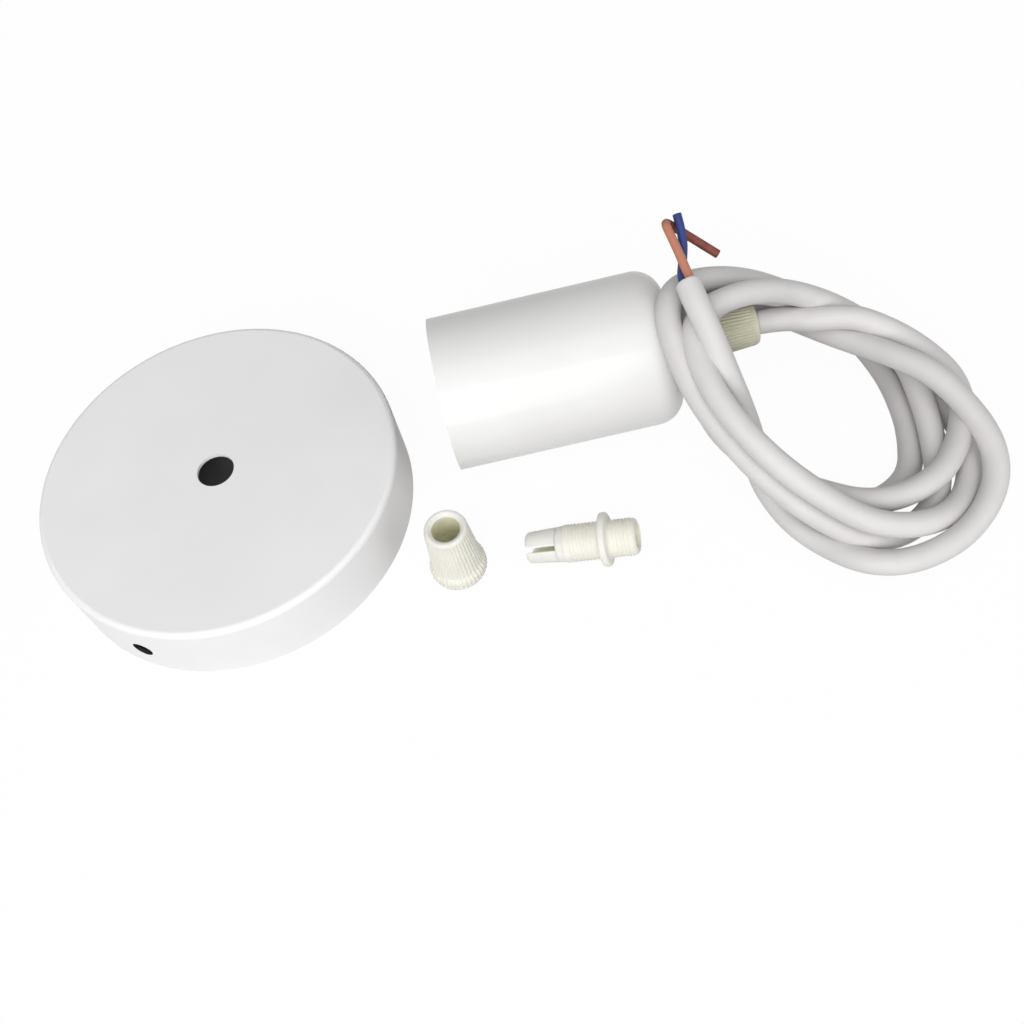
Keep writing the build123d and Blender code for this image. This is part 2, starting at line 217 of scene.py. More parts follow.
def sleevePaint():
    # Glossy stoved enamel: long soft waves, fine peel and a few grains under the paint
    fixed = {"Specular IOR Level": 0.45, "Coat Roughness": 0.10}
    material, shader, place = startFinish("sleevePaint", fixed)
    wave = noise(stretched(place, (0.22, 1.0, 1.0)), 6.0, 2.0)
    peel = noise(place, 1.1, 1.5)
    grains = specks(place, 7.0, 0.2, 0.07)
    colour = noise(place, 30.0).eased(0.3, 0.7).blend((0.735, 0.731, 0.717), (0.762, 0.758, 0.746))
    feed(shader, Base_Color=(grains * 0.7).blend(colour, (0.30, 0.29, 0.27)),
         Roughness=0.40 + 0.10 * noise(place, 12.0),
         Coat_Weight=0.18 + 0.30 * wave,
         Normal=bumped(wave + 0.2 * peel + 0.4 * grains, 0.05))
    return material


def gripPlastic(name, dark, light, furrow, bore):
    # Moulded plastic that lets a little light through; the groove attribute is up to 0.25 in a furrow
    # and 1 in a bore, where it blends in the furrow and bore colours: painted light and shade, brighter and
    # yellower for light through the thin walls of the loose pieces, darker for shade on the holder's nut
    fixed = {"Specular IOR Level": 0.42, "Subsurface Weight": 0.45, "Subsurface Scale": 0.002,
             "Subsurface Radius": (1.0, 1.0, 0.8)}
    material, shader, place = startFinish(name, fixed)
    groove = place.make("ShaderNodeAttribute", {"attribute_name": "groove"}, None, 2)
    cloud = noise(place, 5.0, 3.0)
    fine = noise(place, 0.35, 2.0)
    colour = cloud.eased(0.3, 0.7).blend(dark, light)
    # Painted light and shade: the furrow and bore colours come in by the groove attribute
    furrowed = (groove * 0.85).blend(colour, furrow)
    feed(shader, Base_Color=groove.eased(0.3, 1.0).blend(furrowed, bore),
         Roughness=0.42 + 0.12 * fine + 0.10 * groove,
         Normal=bumped(fine + 0.6 * cloud, 0.02))
    return material


def sheathPvc():
    # Soft white sheath with faint smudges, a fine grain and a little waviness
    material, shader, place = startFinish("sheathPvc", {"Specular IOR Level": 0.4})
    cloud = noise(place, 14.0, 3.0)
    fine = noise(place, 0.5, 2.0)
    smudge = noise(place, 3.2, 4.0, 0.65).eased(0.56, 0.78)
    colour = cloud.eased(0.3, 0.7).blend((0.610, 0.593, 0.589), (0.662, 0.645, 0.640))
    feed(shader, Base_Color=(smudge * 0.22).blend(colour, (0.57, 0.56, 0.55)),
         Roughness=0.38 + 0.14 * cloud + 0.08 * fine,
         Normal=bumped(noise(place, 4.5) + 0.25 * fine, 0.05))
    return material


paleCoreStretch = {
    "slope": (0.0, -0.9, 1.0),               # across the stripped cores, from their tips towards the sheath
    "start": 35.5,                           # millimetres along the slope where the pale stretch begins
    "end": 38.5,
}


def insulation(name, dark, light, paleColour):
    # Thin soft sleeve of a core, with scuffs along it, and paler further towards the front and the top, over
    # the stretch next to the sheath
    material, shader, place = startFinish(name, {"Specular IOR Level": 0.25})
    cloud = noise(place, 2.6, 4.0, 0.6)
    fine = noise(place, 0.3, 2.0)
    inputs = {0: place, 1: paleCoreStretch["slope"]}
    along = place.make("ShaderNodeVectorMath", {"operation": "DOT_PRODUCT"}, inputs, 1)
    pale = along.eased(paleCoreStretch["start"] * mm, paleCoreStretch["end"] * mm)
    colour = cloud.eased(0.25, 0.75).blend(dark, light)
    feed(shader, Base_Color=(pale * 0.8).blend(colour, paleColour),
         Roughness=0.40 + 0.18 * cloud,
         Normal=bumped(cloud + 0.4 * fine, 0.03))
    return material


def metal(name, dark, light, roughness, tarnish):
    # Rolled or plated metal: faint drawn lines, cloudy tarnish
    material, shader, place = startFinish(name, {"Metallic": 1.0})
    lines = noise(stretched(place, (0.15, 1.0, 1.0)), 0.4, 2.0)
    cloud = noise(place, 6.0, 4.0, 0.6)
    stain = cloud.eased(0.5, 0.8) * tarnish
    dull = tuple(0.55 * c for c in dark)
    feed(shader, Base_Color=stain.blend(cloud.blend(dark, light), dull),
         Roughness=roughness + 0.10 * lines + 0.25 * stain,
         Normal=bumped(lines, 0.006))
    return material


def porcelain():
    # White glazed body with fine pits and a cream tone in its thicker glaze
    material, shader, place = startFinish("porcelain", {"Coat Roughness": 0.08, "Coat IOR": 1.5})
    cloud = noise(place, 8.0, 3.0)
    pits = specks(place, 2.2, 0.18, 0.25)
    glaze = cloud.eased(0.3, 0.7).blend((0.80, 0.775, 0.72), (0.86, 0.845, 0.80))
    feed(shader, Base_Color=(pits * 0.5).blend(glaze, (0.42, 0.38, 0.32)),
         Roughness=0.28 + 0.12 * cloud,
         Coat_Weight=0.55 - 0.4 * pits,
         Normal=bumped(noise(place, 2.0) - 0.6 * pits, 0.03))
    return material


finish = {
    "canopy_paint": canopyPaint(),
    "sleeve_paint": sleevePaint(),
    # Furrow and bore colours of the loose pieces are painted light: a yellow glow for light through the thin
    # plastic
    "grip_plastic": gripPlastic("gripPlastic", (0.745, 0.737, 0.686), (0.780, 0.773, 0.733),
                                (0.90, 0.83, 0.50), (0.985, 0.958, 0.750)),
    # Painted shade: the holder's nut and grip body are the same plastic as the loose pieces, in a darker, more
    # olive copy, with darker furrow and bore colours
    "holder_plastic_painted_shade": gripPlastic("holderPlasticPaintedShade", (0.575, 0.565, 0.435), (0.625, 0.615, 0.490),
                                  (0.50, 0.47, 0.29), (0.50, 0.47, 0.29)),
    "sheath": sheathPvc(),
    "brown_insulation": insulation("brownInsulation", (0.155, 0.044, 0.030), (0.240, 0.074, 0.050),
                                   (0.58, 0.245, 0.160)),
    "blue_insulation": insulation("blueInsulation", (0.018, 0.028, 0.105), (0.030, 0.046, 0.165),
                                  (0.034, 0.056, 0.215)),
    "zinc_steel": metal("zincSteel", (0.58, 0.58, 0.57), (0.70, 0.70, 0.70), 0.30, 0.35),
    "brass": metal("brass", (0.66, 0.46, 0.19), (0.78, 0.58, 0.27), 0.24, 0.45),
    "copper": metal("copper", (0.70, 0.33, 0.19), (0.82, 0.43, 0.27), 0.30, 0.40),
    "porcelain": porcelain(),
}
print("finishes made:", len(finish))

# CAD pieces that keep their own shape

nodeFinish = {
    "canopy": "canopy_paint",
    "holder_sleeve": "sleeve_paint",
    "holder_grip_body": "holder_plastic_painted_shade",
    "socket_core": "porcelain",
    "socket_bracket": "zinc_steel",
    "bracket_lock_nut": "zinc_steel",
    "bracket_screws": "zinc_steel",
    "shell_rivets": "brass",
    "centre_contact": "brass",
    "contact_rivet": "brass",
    "live_terminal": "brass",
    "neutral_terminal": "brass",
    "terminal_screws": "zinc_steel",
    "brown_core_inner": "brown_insulation",
    "blue_core_inner": "blue_insulation",
    "conductor_ends": "copper",
    "cord_entry": "sheath",
}


def dressNodes(finishes):
    for name, kind in finishes.items():
        for slot in nodes[name].material_slots:
            slot.material = finish[kind]


dressNodes(nodeFinish)
print("CAD pieces dressed:", len(nodeFinish))

# Surfaces on a grid

mergeDistance = 1e-7                         # metres


def gridFaces(rows, columns, wrapRows, wrapColumns):
    # Quads between neighbouring points; a wrapped side joins its last line to its first
    i, j = np.meshgrid(np.arange(rows if wrapRows else rows - 1),
                       np.arange(columns if wrapColumns else columns - 1), indexing="ij")
    k, m = (i + 1) % rows, (j + 1) % columns
    corners = [i * columns + j, i * columns + m, k * columns + m, k * columns + j]
    return np.stack(corners, axis=-1).reshape(-1, 4)


def makePiece(name, points, faces, kind, body, groove=None):
    # Mesh from points in millimetres; groove is a value from 0 to 1 at each point, the mask for painted light
    # and shade
    mesh = bpy.data.meshes.new(name)
    mesh.from_pydata((points.reshape(-1, 3) * mm).tolist(), [], faces.tolist())
    if groove is not None:
        values = mesh.attributes.new("groove", "FLOAT", "POINT").data
        values.foreach_set("value", groove.ravel().astype(np.float32))
    work = bmesh.new()
    work.from_mesh(mesh)
    bmesh.ops.remove_doubles(work, verts=work.verts, dist=mergeDistance)
    bmesh.ops.recalc_face_normals(work, faces=work.faces)
    work.to_mesh(mesh)
    work.free()
    mesh.polygons.foreach_set("use_smooth", np.ones(len(mesh.polygons), bool))
    mesh.materials.append(finish[kind])
    piece = bpy.data.objects.new(name, mesh)
    scene.collection.objects.link(piece)
    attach(piece, body)
    return piece


def roundedOutline(corners, radius, steps=5, mostOfRun=0.45):
    # Outline through (radius, height) corners; each inner corner becomes a parabola between its two runs
    corners = np.array(corners, float)
    share = np.linspace(0, 1, steps)[:, None]
    pieces = [corners[:1]]
    for before, corner, after in zip(corners[:-2], corners[1:-1], corners[2:]):
        runIn, runOut = before - corner, after - corner
        start = corner + runIn * min(radius / np.linalg.norm(runIn), mostOfRun)
        end = corner + runOut * min(radius / np.linalg.norm(runOut), mostOfRun)
        pieces.append((1 - share)**2 * start + 2 * share * (1 - share) * corner + share**2 * end)
    return np.vstack(pieces + [corners[-1:]])


def spaced(outline, step):
    # The same outline with points no further apart than step
    runs = np.linalg.norm(np.diff(outline, axis=0), axis=1)
    along = np.concatenate([[0], np.cumsum(runs)])
    even = np.linspace(0, along[-1], int(along[-1] / step) + 1)
    place = np.union1d(along, even)
    return np.column_stack([np.interp(place, along, outline[:, i]) for i in range(2)])


def ease(value, low, high):
    # 0 below low, 1 above high, smooth between
    share = np.clip((value - low) / (high - low), 0, 1)
    return share**2 * (3 - 2 * share)


def fullTurn(columns):
    # Angles round a piece, without the last, which is the first again
    return np.linspace(0, 2 * np.pi, columns, endpoint=False)


def around(radius, height, turn):
    # Points of a surface of revolution about the local z axis
    radius, height, turn = np.broadcast_arrays(radius, height, turn)
    return np.stack([radius * np.cos(turn), radius * np.sin(turn), height], axis=-1)


# The coiled cord

cordCoil = {
    "diameter": 6.5,
    "middle": (113.65, -20.0),
    "stationTurn": 30.0,                     # degrees from one station of a turn to the next, clockwise from +X
    "firstStation": -60.0,
    "springOut": 1.033,                      # the line runs inside its points by this share
    "reach": (                               # how far each station lies from the middle, a row for each turn
        (23.3, 26.4, 30.7, 30.5, 31.5, 30, 25.5, 27.5, 34.5, 38),
        (33, 29.5, 30.5, 28, 26.5, 34, 40.8, 38.7, 29, 28, 31, 37.5),
        (31, 30.8, 29.5, 25.3, 22.2, 25, 36.5, 40.3, 32.2, 29.5, 34.3, 43.3),
        (38, 35.3, 29.3, 21.8, 19.5, 21.5, 28.5, 31, 27, 25.5, 28, 36.5),
        (40, 33, 22.5, 22, 28, 41.6, 44.3, 42.8, 30.4, 25.5),
    ),
    "height": (                              # and how high it lies before the turns settle on each other
        (18.5, 13, 10.5, 10.5, 11, 10, 9, 10.5, 17.5, 30),
        (28, 14.5, 6, 4, 3.4, 4.5, 6.5, 13, 18, 25.5, 32.5, 37),
        (32, 19.5, 10, 8, 8.5, 7.5, 3.4, 4.5, 11, 18.5, 30.5, 42.5),
        (29.5, 13.5, 4, 3.5, 3.5, 3.5, 3.5, 3.5, 3.5, 4.5, 12, 26),
        (20, 8.5, 13, 15.5, 16, 8.5, 7.5, 8.5, 5, 9.5),
    ),
    "lead": ((100.55, 7.0, 20.75), (107.15, 6.7, 20.6), (113.65, 5.9, 20.0), (120.65, 4.1, 19.5)),
    "tail": ((90.65, -25.5, 16.5), (88.65, -22.0, 25.0), (86.35, -19.0, 33.3), (84.35, -13.3, 40.8),
             (82.65, -5.3, 45.3), (81.9, -1.4, 46.7), (81.5, 1.9, 47.65)),
}
settling = {
    "rounds": 260,
    "samples": 6,                            # places looked at between two points of the line
    "clearance": 0.1,
    "heldLead": 2,                           # points at the two ends that stay where they are
    "heldTail": 5,
    "sameStrand": 2.6,                       # nearer along the line than this many diameters is no touch
    "moveShare": 0.5,                        # how much of a push is followed in one round
    "sideShare": 0.5,                        # and how much of its part across the line of sight
    "smoothing": 0.04,
}
holderRoom = {
    "endRound": 7.5,                         # the sleeve's rounded end
    "collar": 3.6,                           # along the grip nut
    "gripRadii": (7.6, 7.5, 5.7, 3.2),       # at the sleeve, past the collar, at the nut's end, on the cord
}
tiny = 1e-9                                  # keeps a division by a distance from failing


def coilPoints(coil):
    # Each station lies at its reach from the middle, one station turn further clockwise than the one before
    reach = np.concatenate(coil["reach"]) * coil["springOut"]
    height = np.concatenate(coil["height"])
    turn = np.radians(coil["firstStation"] + coil["stationTurn"] * np.arange(len(reach)))
    middleX, middleY = coil["middle"]
    turns = np.column_stack([middleX + reach * np.cos(turn), middleY - reach * np.sin(turn), height])
    return np.vstack([coil["lead"], turns, coil["tail"]])


def lineWeights(count, samples):
    # Share of each control point at places along a quadratic B-spline whose ends are held
    knots = np.concatenate([[0, 0], np.arange(count - 1), [count - 2, count - 2]]).astype(float)
    t = np.linspace(0, count - 2 - tiny, (count - 2) * samples + 1)
    span = t.astype(int)
    before, low, high, after = (knots[span + 1 + i] for i in range(4))
    inner = t - low
    left = (t - before) / (high - before)
    right = inner / (after - low)
    weights = np.zeros((len(t), count))
    row = np.arange(len(t))
    weights[row, span] = (1 - inner) * (1 - left)
    weights[row, span + 1] = (1 - inner) * left + inner * (1 - right)
    weights[row, span + 2] = inner * right
    return weights


def boxMiddle(name):
    # Lowest corner, highest corner and middle of a CAD node's box, in millimetres
    low, high = (np.array(corner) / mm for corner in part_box(name))
    return low, high, (low + high) / 2


def holderPush(line, radius, room):
    # Out of the sleeve's rounded end and out of the grip, measured from the holder's axis
    low, high, middle = boxMiddle("holder_sleeve")
    nutLow, nutHigh, _ = boxMiddle("holder_grip_nut")
    sleeveRadius = (high[2] - low[2]) / 2
    corner = room["endRound"]
    along = line[:, 0]
    across = line[:, 1:] - middle[1:]
    distance = np.linalg.norm(across, axis=1) + tiny
    outward = across / distance[:, None]
    alongGap = np.maximum(along - (high[0] - corner), 0)
    roundGap = np.maximum(distance - (sleeveRadius - corner), 0)
    gap = np.hypot(alongGap, roundGap) + tiny
    depth = np.maximum(corner + radius - gap, 0)
    push = np.column_stack([depth * alongGap / gap, outward * (depth * roundGap / gap)[:, None]])
    gripPlaces = (high[0], nutLow[0] + room["collar"], nutHigh[0], nutHigh[0] + radius)
    gripRadius = np.interp(along, gripPlaces, room["gripRadii"])
    beside = (along > high[0] - corner) & (along < nutHigh[0] + radius)
    inGrip = np.where(beside, np.maximum(gripRadius + radius - distance, 0), 0)
    push[:, 1:] += outward * inGrip[:, None]
    return push


def settleCoil(points, diameter, settle, room):
    # Turns that lie in one another move apart, most of all along the line of sight, and none sinks into the
    # table or the holder; neighbouring points share a move, so that the line stays smooth
    gap = diameter + settle["clearance"]
    weights = lineWeights(len(points), settle["samples"])
    spread = weights.T / (weights**2).sum(0)[:, None] * settle["moveShare"]
    free = np.ones((len(points), 1))
    free[:settle["heldLead"]] = 0
    free[-settle["heldTail"]:] = 0
    spacing = np.linalg.norm(np.diff(weights @ points, axis=0), axis=1).mean()
    order = np.arange(len(weights))
    apart = np.abs(order[:, None] - order) > settle["sameStrand"] * gap / spacing
    moved = np.zeros_like(points)
    for _ in range(settle["rounds"]):
        line = weights @ (points + moved)
        between = line[:, None] - line
        distance = np.linalg.norm(between, axis=2) + tiny
        inside = np.where(apart, np.maximum(gap - distance, 0), 0)
        touching = np.maximum((inside > 0).sum(1), 1)[:, None]
        push = (between * (inside / distance)[..., None]).sum(1) / touching / 2
        sight = (push @ sightLine)[:, None] * sightLine
        push = sight + settle["sideShare"] * (push - sight)
        push[:, 2] += np.maximum(diameter / 2 - line[:, 2], 0)
        push += holderPush(line, diameter / 2 + settle["clearance"], room)
        moved += free * (spread @ push)
        moved[1:-1] += settle["smoothing"] * free[1:-1] * (moved[:-2] + moved[2:] - 2 * moved[1:-1])
    print("coil settled: deepest overlap", round(float(inside.max()), 2), "mm")
    return points + moved


def layCord(name, points, diameter, kind):
    # One open NURBS line with a round section
    curve = bpy.data.curves.new(name, "CURVE")
    curve.dimensions = "3D"
    spline = curve.splines.new("NURBS")
    spline.points.add(len(points) - 1)
    places = np.column_stack([np.array(points) * mm, np.ones(len(points))])
    spline.points.foreach_set("co", places.ravel())
    spline.order_u = 3
    spline.use_endpoint_u = True
    spline.resolution_u = 10
    curve.bevel_depth = diameter / 2 * mm
    curve.bevel_resolution = 8
    curve.use_fill_caps = True
    curve.materials.append(finish[kind])
    piece = bpy.data.objects.new(name, curve)
    scene.collection.objects.link(piece)
    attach(piece, "kit")
    return piece


def lineLength(points, samples=16):
    # Sum of short chords along the line
    line = lineWeights(len(points), samples) @ np.array(points)
    return np.linalg.norm(np.diff(line, axis=0), axis=1).sum()


coilLine = settleCoil(coilPoints(cordCoil), cordCoil["diameter"], settling, holderRoom)
cord = layCord("sheathedCord", coilLine, cordCoil["diameter"], "sheath")
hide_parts("cord_lead", "cord_coil", "cord_tail")

coreEnds = {
    "diameter": 2.3,
    "brown": ((82.3, 1.78, 48.54), (81.85, 5.0, 49.35), (80.8, 12.0, 51.7), (79.75, 18.1, 53.25),
              (80.55, 19.9, 51.75), (84.6, 17.9, 48.4), (91.9, 13.75, 42.9)),
    "blue": ((80.7, 2.2, 46.8), (80.35, 4.7, 47.4), (82.0, 9.9, 47.3), (83.6, 15.2, 50.5),
             (83.25, 20.2, 53.6)),
}
brownEnd = layCord("brownCoreEnd", coreEnds["brown"], coreEnds["diameter"], "brown_insulation")
blueEnd = layCord("blueCoreEnd", coreEnds["blue"], coreEnds["diameter"], "blue_insulation")
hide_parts("brown_core_end")
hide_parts("blue_core_end")

cutFace = {
    "radius": 0.62,
    "strands": 6,
    "dome": 0.10,
    "dip": 0.35,                             # share of the dome's rise between two strands
    "sunk": 0.02,
    "rings": 9,
    "columns": 48,
}
sheathEnd = {
    "wall": 0.8,
    "rise": 0.45,
    "ripples": ((0.06, 3, 0.0), (0.04, 5, 1.0)),   # height, waves round the ring and their start
    "squareness": 5,
    "sunk": 0.05,
    "rings": 15,
    "columns": 64,
}


def endAxes(route):
    # Two sides and the run of a route's last stretch
    end, before = np.array(route[-1]), np.array(route[-2])
    along = (end - before) / np.linalg.norm(end - before)
    side = np.cross(along, (0, 0, 1))
    side /= np.linalg.norm(side)
    return np.array([side, np.cross(along, side), along])


def endFace(name, route, face, kind):
    # Dome of twisted strands: height falls off with the radius and dips between the strands
    turn = fullTurn(face["columns"])
    radius = np.linspace(0, 1, face["rings"])[:, None]
    dip = face["dip"] * radius * (0.5 - 0.5 * np.cos(face["strands"] * turn))
    height = face["dome"] * (1 - radius**2 - dip) - face["sunk"]
    points = around(face["radius"] * radius, height, turn) @ endAxes(route) + route[-1]
    return makePiece(name, points, gridFaces(*points.shape[:2], False, True), kind, "kit")


def cutLip(name, route, diameter, end, kind):
    # Ring of rounded section: the sheath's wall stands a little past its filling, where it was cut
    halfWall = end["wall"] / 2
    turn = fullTurn(end["columns"])
    across = np.linspace(-1, 1, end["rings"])[:, None]
    section = np.abs(across)**end["squareness"]
    ripple = sum(height * np.sin(waves * turn + start) for height, waves, start in end["ripples"])
    height = (end["rise"] + ripple) * (1 - section) - end["sunk"] * section
    ring = around(diameter / 2 - halfWall + halfWall * across, height, turn)
    points = ring @ endAxes(route) + route[-1]
    return makePiece(name, points, gridFaces(*points.shape[:2], False, True), kind, "kit")


brownFace = endFace("brownConductorFace", coreEnds["brown"], cutFace, "copper")
blueFace = endFace("blueConductorFace", coreEnds["blue"], cutFace, "copper")
sheathLip = cutLip("sheathCutLip", coilLine, cordCoil["diameter"], sheathEnd, "sheath")
cordLength = lineLength(coilLine)
brownLength = lineLength(coreEnds["brown"])
print("cord laid:", round(cordLength), "mm, brown core", round(brownLength, 1), "mm")

# Ribbed grip nuts

ribbedNut = {
    "height": 20.0,
    "endRadius": 7.0,
    "collarRadius": 7.6,
    "collarTop": 3.4,
    "neckRadius": 6.8,
    "neckStart": 4.8,
    "rimRadius": 5.7,
    "holeRadius": 3.75,
    "jawRadius": 4.4,
    "boreRadius": 5.3,
    "lip": 1.2,
    "lipSlope": 0.4,
    "chamfer": 0.85,
    "foot": 0.6,                             # width of the flat ring that it stands on
    "footRise": 0.7,
    "rimRise": 1.0,
    "rimSwell": 0.05,
    "rimFall": 0.35,
    "edgeRound": 0.55,
    "boreRound": 0.3,
    "ribs": 40,
    "ribDepth": 0.26,
    "ribShape": 0.8,                         # below 1 the furrows are wider than the ribs
    "ribStart": (0.1, 0.8),                  # heights between which the ribs rise and run out
    "ribFade": (18.0, 19.3),
    "ribPaintedShading": 0.25,
    "threadPitch": 1.0,
    "threadDepth": 0.2,
    "threadStart": (0.5, 1.2),
    "threadTop": 8.6,
    "threadFade": 0.6,
    "stepPitch": 0.8,                        # fine rings left by the mould above the thread
    "stepDepth": 0.06,
    "stepFade": 1.0,
    "borePaintedShading": (0.6, 3.0),                  # depths below the rim between which the bore's painted light and shade comes in
    "outerStep": 0.35,
    "innerStep": 0.17,
    "columnsPerRib": 8,
}


def nutSurface(nut):
    # Outer cone r(z) less ribDepth times a rounded groove in cos(ribs * turn); inner wall with a helical ridge
    top, mouth = nut["height"], nut["holeRadius"] + nut["chamfer"]
    footRadius, threadTop = nut["endRadius"] - nut["foot"], nut["threadTop"]
    outer = spaced(roundedOutline([
        (footRadius, 0), (nut["endRadius"], 0), (nut["collarRadius"], nut["footRise"]),
        (nut["collarRadius"], nut["collarTop"]), (nut["neckRadius"], nut["neckStart"]),
        (nut["rimRadius"] + nut["rimSwell"], top - nut["rimRise"]), (nut["rimRadius"] - nut["rimFall"], top),
        (mouth, top)], nut["edgeRound"]), nut["outerStep"])
    inner = spaced(roundedOutline([
        (mouth, top), (nut["holeRadius"], top - nut["chamfer"]), (nut["holeRadius"], top - nut["lip"]),
        (nut["jawRadius"], top - nut["lip"] - nut["lipSlope"]), (nut["boreRadius"], threadTop),
        (nut["boreRadius"], nut["foot"]), (footRadius, 0)], nut["boreRound"]), nut["innerStep"])
    turn = fullTurn(nut["ribs"] * nut["columnsPerRib"])
    outerHeight, innerHeight = outer[:, 1:], inner[:, 1:]
    ribShare = ease(outerHeight, *nut["ribStart"]) * (1 - ease(outerHeight, *nut["ribFade"]))
    furrow = ribShare * (0.5 - 0.5 * np.cos(nut["ribs"] * turn))**nut["ribShape"]
    ribbed = outer[:, :1] - nut["ribDepth"] * furrow
    threadShare = ease(innerHeight, *nut["threadStart"])
    threadShare = threadShare * (1 - ease(innerHeight, threadTop - nut["threadFade"], threadTop))
    helix = 0.5 + 0.5 * np.cos(2 * np.pi * innerHeight / nut["threadPitch"] - turn)
    stepShare = ease(innerHeight, threadTop, threadTop + nut["stepFade"])
    steps = 0.5 + 0.5 * np.cos(2 * np.pi * innerHeight / nut["stepPitch"])
    ringed = inner[:, :1] - nut["threadDepth"] * threadShare * helix - nut["stepDepth"] * stepShare * steps
    wall, bore = around(ribbed, outerHeight, turn), around(ringed, innerHeight, turn)
    points = np.concatenate([wall, bore[1:-1]])
    # Painted light and shade: a share of the furrows and the bore below the rim take the furrow and bore
    # colours
    inBore = ease(top - innerHeight, *nut["borePaintedShading"]) * np.ones_like(turn)
    groove = np.concatenate([nut["ribPaintedShading"] * furrow, inBore[1:-1]])
    return points, gridFaces(*points.shape[:2], True, True), groove


def placeAlong(points, start, axis):
    # From the piece's own axes, with z along the piece, to the table's: upright, or lying along +X
    return points + start if axis == "z" else points[..., [2, 0, 1]] + start


nutPoints, nutFaces, nutGroove = nutSurface(ribbedNut)
low, _, middle = boxMiddle("canopy_grip_nut")
standing = placeAlong(nutPoints, (middle[0], middle[1], low[2]), "z")
looseNut = makePiece("looseGripNut", standing, nutFaces, "grip_plastic", "kit", nutGroove)
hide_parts("canopy_grip_nut")
low, _, middle = boxMiddle("holder_grip_nut")
onHolder = placeAlong(nutPoints, (low[0], middle[1], middle[2]), "x")
# The holder's nut takes the darker copy of the grip plastic, painted shade
holderNut = makePiece("holderGripNut", onHolder, nutFaces, "holder_plastic_painted_shade", "grip_nut", nutGroove)
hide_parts("holder_grip_nut")
print("grip nuts made:", len(nutFaces), "faces each")

# Loose grip body

gripBody = {
    "boreRadius": 3.45,
    "threadRadius": 5.0,
    "threadPitch": 0.95,
    "threadDepth": 0.24,
    "threadShape": 0.7,
    "threadPaintedShading": 0.25,
    "stubFade": ((0.2, 1.2), (0.5, 0.1)),    # from the stub's end, and up to the flange
    "neckFade": ((0.1, 0.5), (1.6, 0.0)),    # from the flange, and up to the thread's top
    "stubEnd": -9.5,
    "stubChamfer": 0.9,
    "flangeRadius": 7.1,
    "flangeThickness": 2.0,
    "threadTop": 9.4,
    "neckRadius": 4.75,
    "neckHeight": 9.65,
    "slotBottom": 11.7,
    "slotWidth": 1.6,
    "frontEnd": 19.7,
    "tipRadius": 4.1,
    "tipRound": 1.1,
    "tipFall": 0.5625,                       # how far the outside, the bore and the slot give way at the tip
    "tipFlare": 0.15,
    "tipSpread": 0.75,
    "jawOverlap": 0.1,                       # the jaws start this far inside the shank
    "jawInset": 0.03,
    "boreInset": 0.02,
    "cornerRound": 0.9,
    "cornerSteps": 7,
    "outlineStep": 0.12,
    "columns": 120,
    "jawRows": 12,
    "tipRows": 10,
    "jawColumns": 48,
    "place": (27.95, -35.9),
    "turn": -12.5,
    "roll": 50.0,
    "restFromTip": 0.5,
}


def jawRadius(grip, height):
    # The jaws taper evenly from the neck to their tips
    return np.interp(height, (grip["neckHeight"], grip["frontEnd"]), (grip["neckRadius"], grip["tipRadius"]))


def gripShank(grip):
    # Turned outline with a helical thread on the stub and next to the flange
    bottom = jawRadius(grip, grip["slotBottom"])
    flangeLow = -grip["flangeThickness"]
    outline = roundedOutline([
        (grip["boreRadius"], grip["stubEnd"]), (grip["threadRadius"] - grip["stubChamfer"], grip["stubEnd"]),
        (grip["threadRadius"], grip["stubEnd"] + grip["stubChamfer"]), (grip["threadRadius"], flangeLow),
        (grip["flangeRadius"], flangeLow), (grip["flangeRadius"], 0), (grip["threadRadius"], 0),
        (grip["threadRadius"], grip["threadTop"]), (grip["neckRadius"], grip["neckHeight"]),
        (bottom, grip["slotBottom"]), (grip["boreRadius"], grip["slotBottom"]),
        (grip["boreRadius"], grip["stubEnd"])], grip["cornerRound"], grip["cornerSteps"])
    outline = spaced(outline, grip["outlineStep"])[:-1]
    turn = fullTurn(grip["columns"])
    radius, height = outline[:, :1], outline[:, 1:]
    onThread = 0
    for start, end, (rise, fall) in ((grip["stubEnd"], flangeLow, grip["stubFade"]),
                                     (0, grip["threadTop"], grip["neckFade"])):
        begins = ease(height, start + rise[0], start + rise[1])
        onThread = onThread + begins * (1 - ease(height, end - fall[0], end - fall[1]))
    stubEndRadius = grip["threadRadius"] - grip["stubChamfer"]
    outside = radius > (grip["boreRadius"] + stubEndRadius) / 2
    wave = 0.5 + 0.5 * np.cos(2 * np.pi * height / grip["threadPitch"] - turn)
    valley = onThread * outside * (1 - wave)**grip["threadShape"]
    points = around(radius - grip["threadDepth"] * valley, height, turn)
    # Painted light: the thread's valleys and the bore take the furrow and bore colours of the loose plastic
    onBore = np.isclose(radius, grip["boreRadius"]) * np.ones_like(turn)
    return points, gridFaces(*points.shape[:2], True, True), grip["threadPaintedShading"] * valley + onBore


